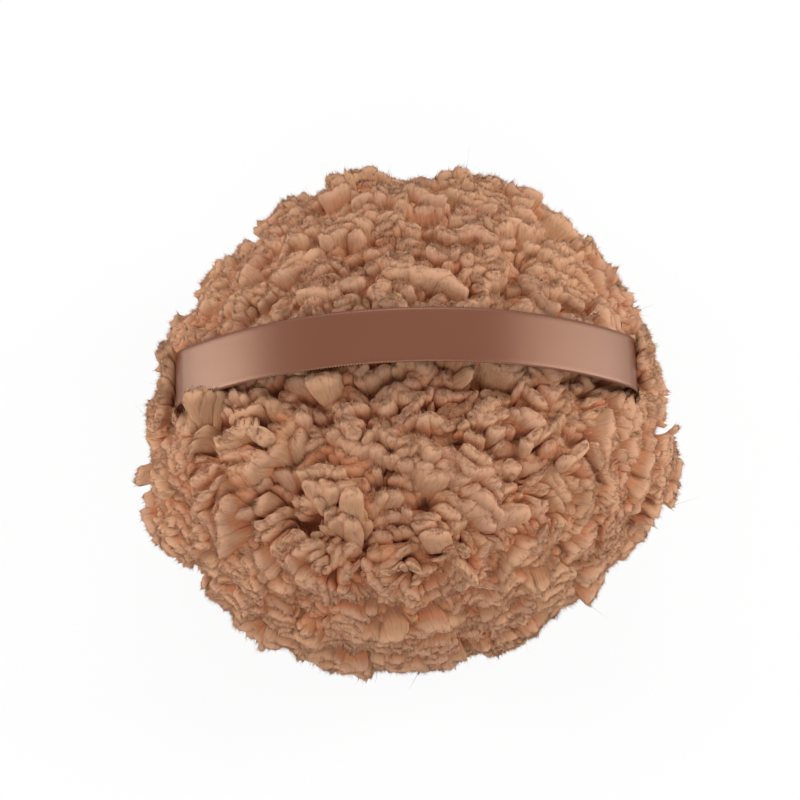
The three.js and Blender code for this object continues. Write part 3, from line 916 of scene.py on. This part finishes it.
# Single fibres that stand off the lobes and soften them, as fibres x rings x 3 corners x 3
def growFibres(dome, locks, shape):
    rng = np.random.default_rng(shape["seed"] + dome["seed"])
    points = locks["points"]
    lobes, rings, sides = points.shape[:3]
    count = math.ceil(lobes * shape["perLobe"])
    tries = count * shape["tries"]
    lobe = rng.integers(0, lobes, tries)
    ring = rng.integers(*shape["fromRings"], tries)
    corner = rng.integers(0, sides, tries)
    place = points[lobe, ring, corner]
    hidden = np.maximum(locks["sunken"][lobe, ring, corner] - shape["hiddenBelow"], 0)
    score = rng.uniform(-shape["scoreShake"], shape["scoreShake"], tries) - shape["hiddenCost"] * hidden
    score -= shape["floorCost"] * (place[:, 2] < shape["floorBand"])
    best = np.argsort(-score)[:count]
    lobe, ring, corner = lobe[best], ring[best], corner[best]
    upward = rng.uniform(0, 1, (count, 1))
    aside = rng.uniform(0, 1, (count, 1))

    def onLobe(step):
        here = points[lobe, ring + step, corner]
        return here + (points[lobe, ring + step, (corner + 1) % sides] - here) * aside

    low, high = onLobe(0), onLobe(1)
    root = low + (high - low) * upward
    outward = unit(root - points[lobe, ring].mean(axis=1))
    calm = (1 - shape["flakeCalm"] * locks["stacked"][lobe])[:, None]
    spread = rng.uniform(*shape["outward"], (count, 1)) * calm
    atCap = ring == rings - 2
    inner, outer = (points[lobe, level].mean(axis=1) for level in shape["endRings"])
    end = unit(outer - inner)
    onward = np.where(atCap[:, None], end, unit(high - low))
    heading = unit(onward + outward * spread + rng.normal(0, shape["stray"], (count, 3)))
    bend = rng.normal(0, shape["bend"], (count, 3))
    shorter = np.clip(locks["thickness"][lobe] / shape["fullAt"], shape["shortest"], 1)
    shorter *= np.where(atCap, shape["capLength"], 1)
    length = (rng.uniform(*shape["length"], count) * shorter)[:, None, None]
    share = np.array(shape["rings"])[None, :, None]
    line = root[:, None] + length * (heading[:, None] * share + bend[:, None] * share ** 2 / 2)
    line -= outward[:, None] * shape["sunk"]
    facing = unit(locks["faces"][lobe, ring, corner] * shape["lobeFacing"]
                  + locks["stands"][lobe, ring, corner] * shape["pileFacing"])
    first = unit(np.cross(facing, heading))
    second = np.cross(heading, first) * shape["flatness"]  # broad side outward, or the flanks look black
    angle = 2 * math.pi * np.arange(3) / 3 + math.pi / 2
    ray = first[:, None] * np.cos(angle)[None, :, None] + second[:, None] * np.sin(angle)[None, :, None]
    radius = rng.uniform(*shape["radius"], (count, 1)) * np.array(shape["taper"])
    fibres = line[:, :, None] + ray[:, None] * radius[..., None, None]
    if len(shape["rings"]) == 2:
        fibres = np.concatenate([fibres[:, 0], line[:, 1:]], axis=1)[:, None]
        share = np.array([0.0, 0.0, 0.0, 1.0])
    if locks["clear"]:
        fibres = makeRoom(fibres, points[lobe, -1, :, 0].mean(axis=1)[:, None, None])
    points = pressOnFloor(fibres)
    whole = points.shape[:3]
    # Painted shade along each fibre: its lobe's shade depth, less toward the tip, and more at the root
    fibreShade = locks["sunken"][lobe, ring, corner][:, None, None] * (1 - shape["tipRise"] * share)
    fibreShade = fibreShade + shape["rootDepth"] * (1 - share)
    tint = np.clip(locks["tone"][lobe] + rng.normal(0, shape["toneSpread"], count), 0, 1)
    comb = rng.uniform(0, shape["combRange"], (count, 3))
    return {
        "points": points,
        "reach": np.broadcast_to(shape["rootReach"] + shape["tipReach"] * share, whole),
        "tint": np.broadcast_to(tint[:, None, None], whole),
        "comb": np.broadcast_to(comb[:, None, None], (*whole, 3)),
        "sunken": np.maximum(sunkenness(dome, dome["skyline"], points), fibreShade),
        "stands": np.broadcast_to(facing[:, None, None], (*whole, 3)),
        "turn": locks["turn"][lobe],
    }


plushLook = {
    # deep and root are painted shade colours for crevices, turned-away sides and fibre roots; lightAbove,
    # darkBelow and deepBelow are the shade depths in millimetres where the painted shade begins, is full and
    # turns deep; tipStaysLight keeps lock tips a little out of it
    "deep": (0.50, 0.115, 0.036),
    "root": (0.63, 0.195, 0.072),
    "tip": (0.565, 0.298, 0.178),
    "pale": (0.60, 0.358, 0.235),
    "yellower": (0.62, 0.350, 0.180),
    "pinker": (0.585, 0.280, 0.180),
    "lightAbove": -0.2,
    "darkBelow": 1.8,
    "deepBelow": 5.0,
    "tipStaysLight": 0.15,
    "paleFrom": 0.80,
    "palest": 0.45,
    "dyeShift": 0.8,
    "patchShift": 0.5,
    "patchScale": (0.25, 0.2, 0.3),
    "strandScale": (3.2, 0.22, 1.0),
    "strandsFadeFrom": 0.78,
    "strandsLeft": 0.1,
    "strandShade": 0.52,
    "roughness": 0.85,
    "specular": 0.0,
    "bump": 1.0,
    "depth": 0.30 * mm,
}
plush = plushFibre("plush_fibre", plushLook)
hair = plushFibre("plush_hair", {**plushLook, "palest": 0.35})

backShaker = np.random.default_rng(backPile["seed"])
faceShaker = np.random.default_rng(facePile["seed"])
backComb = combLocks(backPile, lockShape, backShaker)
backTufts = placeTufts(tufts, tuftShape["length"], backShaker)
backLocks = shapeLobes(together(backComb, backTufts), lockShape, backShaker)
faceLocks = shapeLobes(combLocks(facePile, lockShape, faceShaker), lockShape, faceShaker, clear=False)
faceLocks["points"] = pressOnFloor(faceLocks["points"])
leaningTufts = placeTufts(ribbonTufts, tuftShape["ribbonLength"], backShaker)
tuftLocks = shapeLobes(leaningTufts, lockShape, backShaker, clear=False)

for dome in (backPile, facePile):
    dome["skyline"] = skylineOf(dome, (backLocks["points"], faceLocks["points"]))


def makePile(dome, locks, name, pieces):
    # Painted shade: added depth on sides turned from the light and under the flakes, on top of the depth below
    # the pile round them
    shadeOnTurnedSides = crevices["sideDepth"] * np.maximum(crevices["lightFacing"] - locks["facing"], 0)
    shadeUnderFlakes = crevices["flakeDepth"] * locks["stacked"][:, None, None]
    shadeUnderFlakes = shadeUnderFlakes * np.maximum(crevices["flakeFrom"] - locks["reach"], 0)
    locks["sunken"] = sunkenness(dome, dome["skyline"], locks["points"]) + shadeOnTurnedSides + shadeUnderFlakes
    made = pilePieces(locks, f"{name}_locks", pieces, tubeFaces, lockShape["softness"], plush)
    for kind, shape in (("fuzz", fuzz), ("wisps", wisps)):
        fibres = growFibres(dome, locks, shape)
        count = math.ceil(len(fibres["turn"]) / shape["perPiece"])
        made += pilePieces(fibres, f"{name}_{kind}", count, fibreFaces, shape["softness"], hair)
    return made


backPieces = makePile(backPile, backLocks, "back", 5)
facePieces = makePile(facePile, faceLocks, "face", 4)
tuftPieces = makePile(backPile, tuftLocks, "ribbon_tuft", 1)
backUndercoat = makeUndercoat(backPile, "back_undercoat", plush)
faceUndercoat = makeUndercoat(facePile, "face_undercoat", plush)
for piece in (*backPieces, backUndercoat, *tuftPieces):
    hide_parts("back_pile")
for piece in (*facePieces, faceUndercoat):
    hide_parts("face_pile")
for piece in (*backPieces, backUndercoat, *facePieces, faceUndercoat):
    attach(piece, "puff")


# The ribbon's cloth

def makeRibbon(material):
    line, run = ribbonLine()
    tangent = unit(np.gradient(line, axis=0))
    normal = np.stack([-tangent[:, 1], tangent[:, 0]], -1)
    columns = np.linspace(1, -1, ribbon["columns"])
    edge = np.abs(columns) ** ribbon["selvedgePower"]
    half = (ribbon["thickness"] + (ribbon["selvedge"] - ribbon["thickness"]) * edge) / 2
    half[[0, -1]] /= 2
    across = np.concatenate([columns, columns[::-1]])
    over = np.concatenate([half, -half[::-1]])
    picot = (1 + np.sin(2 * math.pi * run / ribbon["picotPitch"])) / 2
    onEdge = np.abs(across) > ribbon["picotFrom"]
    spread = ribbon["width"] / 2 + ribbon["picotDepth"] * (picot[:, None] - 1) * onEdge
    x = line[:, None, 0] + normal[:, None, 0] * over
    z = line[:, None, 1] + normal[:, None, 1] * over
    y = spread * across
    points = np.stack([x, y, z], -1)
    weave = np.stack([
        np.broadcast_to(run[:, None] / mm, x.shape),
        np.broadcast_to(across * ribbon["width"] / 2 / mm, x.shape),
        np.broadcast_to(np.sign(over), x.shape),
    ], -1)
    piece = meshPiece("satin_ribbon", points.reshape(-1, 3), tubeFaces(1, *x.shape), material,
                      vectors={"weave": weave.reshape(-1, 3)})
    print(f"satin ribbon: {run[-1] / mm:.1f} mm long")
    return piece, run[-1]


satinLook = {
    "base": (0.108, 0.026, 0.012),
    "light": (0.135, 0.037, 0.018),
    "deep": (0.092, 0.021, 0.009),
    "threadScale": (0.5, 6.0, 1.0),
    "threadPitch": 0.52,
    "threadShift": 0.25,
    "cloudScale": (0.08, 0.15, 1.0),
    "cloudShift": 0.35,
    "ribShare": 0.12,
    "roughness": 0.31,
    "specular": 1.0,
    "shineTint": (1.0, 0.66, 0.45),
    "bump": 0.08,
    "depth": 0.12 * mm,
}
satin = satinWeave("satin_weave", satinLook)
satinRibbon, ribbonLength = makeRibbon(satin)
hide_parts("ribbon_loop", "ribbon_end_left", "ribbon_end_right")
for piece in (satinRibbon, *tuftPieces):
    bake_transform(piece)


# The pieces inside keep their own solids

innerLooks = {
    "ground_cloth": {
        "base": (0.200, 0.090, 0.055),
        "deep": (0.130, 0.052, 0.030),
        "light": (0.260, 0.125, 0.080),
        "grainScale": (1500, 1500, 2600),
        "patchScale": 60.0,
        "patchShift": 0.5,
        "roughness": 0.9,
        "bump": 0.6,
        "depth": 0.25 * mm,
    },
    "fibre_filling": {
        "base": (0.80, 0.77, 0.70),
        "deep": (0.62, 0.58, 0.50),
        "light": (0.88, 0.86, 0.81),
        "grainScale": (420, 900, 700),
        "patchScale": 90.0,
        "patchShift": 0.6,
        "roughness": 0.95,
        "bump": 0.8,
        "depth": 0.8 * mm,
    },
    "sewing_thread": {
        "base": (0.220, 0.100, 0.060),
        "deep": (0.120, 0.048, 0.028),
        "light": (0.300, 0.150, 0.095),
        "grainScale": (5200, 3600, 5200),
        "patchScale": 300.0,
        "patchShift": 0.4,
        "roughness": 0.55,
        "bump": 0.7,
        "depth": 0.05 * mm,
    },
}
innerNodes = {
    "ground_cloth": ("back_ground_cloth", "face_ground_cloth"),
    "fibre_filling": ("fibre_filling",),
    "sewing_thread": ("needle_thread", "bobbin_thread", "closing_thread",
                      "ribbon_tack_left", "ribbon_tack_right"),
}
for kind, names in innerNodes.items():
    cloth = innerFibre(kind, innerLooks[kind])
    for name in names:
        solid = frame["nodes"][name].data
        solid.materials.clear()
        solid.materials.append(cloth)
print("inner cloth, filling and threads: done")


# Floor, light and camera

stage = {
    "floorSize": 3.0,
    "floorColour": (0.86, 0.86, 0.86),
    "floorGlow": 0.9,
    "floorDrop": 0.05 * mm,
    "skyStrength": 0.50,
}


def whiteToTheEye(paint):
    seen = paint.node("ShaderNodeLightPath", {}, {}, out="Is Camera Ray")
    mirrored = paint.node("ShaderNodeLightPath", {}, {}, out="Is Glossy Ray")
    return paint.node("ShaderNodeMath", {"operation": "MAXIMUM"}, {0: seen, 1: mirrored})


def makeFloor():
    half = stage["floorSize"] / 2
    corners = np.array([[-half, -half, 0], [half, -half, 0], [half, half, 0], [-half, half, 0]])
    corners[:, 2] = -stage["floorDrop"]
    paint = Paint(bpy.data.materials.new("pale_floor"))
    matt = paint.node("ShaderNodeBsdfDiffuse", {}, {"Color": (*stage["floorColour"], 1)})
    glow = paint.node("ShaderNodeEmission", {}, {"Color": (1, 1, 1, 1), "Strength": 1.0})
    share = whiteToTheEye(paint) * stage["floorGlow"]
    shader = paint.node("ShaderNodeMixShader", {}, {0: share, 1: matt, 2: glow})
    meshPiece("floor", corners, np.array([[0, 1, 2, 3]]), paint.finish(shader))


def makeSky():
    paint = Paint(bpy.data.worlds.new("studio"))
    strength = whiteToTheEye(paint) * (1 - stage["skyStrength"]) + stage["skyStrength"]
    sky = paint.node("ShaderNodeBackground", {}, {"Color": (1, 1, 1, 1), "Strength": strength})
    bpy.context.scene.world = paint.finish(sky, "ShaderNodeOutputWorld")


lamps = {
    "left_softbox": {"place": (-0.75, 0.12, 0.28), "size": (0.36, 0.46), "power": 3.6},
    "right_softbox": {"place": (0.74, 0.12, 0.38), "size": (0.36, 0.70), "power": 4.7},
    "back_softbox": {"place": (0.0, 0.75, 0.60), "size": (0.60, 0.60), "power": 2.3},
    "front_softbox": {"place": (0.0, -0.72, 0.75), "size": (0.70, 0.50), "power": 3.5},
}


def makeLamps():
    for name, lamp in lamps.items():
        light = bpy.data.lights.new(name, "AREA")
        light.shape = "RECTANGLE"
        light.size, light.size_y = lamp["size"]
        light.energy = lamp["power"]
        holder = bpy.data.objects.new(name, light)
        bpy.context.scene.collection.objects.link(holder)
        holder.location = lamp["place"]
        aim = Vector((0, 0, seamHeight)) - holder.location
        holder.rotation_euler = aim.to_track_quat("-Z", "Y").to_euler()


camera = {
    "elevation": math.radians(69.5),
    "azimuth": math.radians(-2.0),
    "distance": 0.600,
    "lens": 125.0,
    "sensor": 36.0,
    "clipStart": 0.01,
    "right": -1.3 * mm,
    "up": 3.4 * mm,
}


def makeCamera():
    view = bpy.data.cameras.new("camera")
    view.lens = camera["lens"]
    view.sensor_width = camera["sensor"]
    view.clip_start = camera["clipStart"]
    holder = bpy.data.objects.new("camera", view)
    bpy.context.scene.collection.objects.link(holder)
    flat = math.cos(camera["elevation"])
    toward = Vector((math.sin(camera["azimuth"]) * flat, -math.cos(camera["azimuth"]) * flat,
                     math.sin(camera["elevation"])))
    right = Vector((0, 0, 1)).cross(toward).normalized()
    up = toward.cross(right)
    aim = Vector((0, 0, seamHeight)) + right * camera["right"] + up * camera["up"]
    holder.location = aim + toward * camera["distance"]
    holder.rotation_euler = toward.to_track_quat("Z", "Y").to_euler()
    bpy.context.scene.camera = holder


makeFloor()
makeSky()
makeLamps()
makeCamera()
bpy.context.scene.view_settings.view_transform = "Standard"
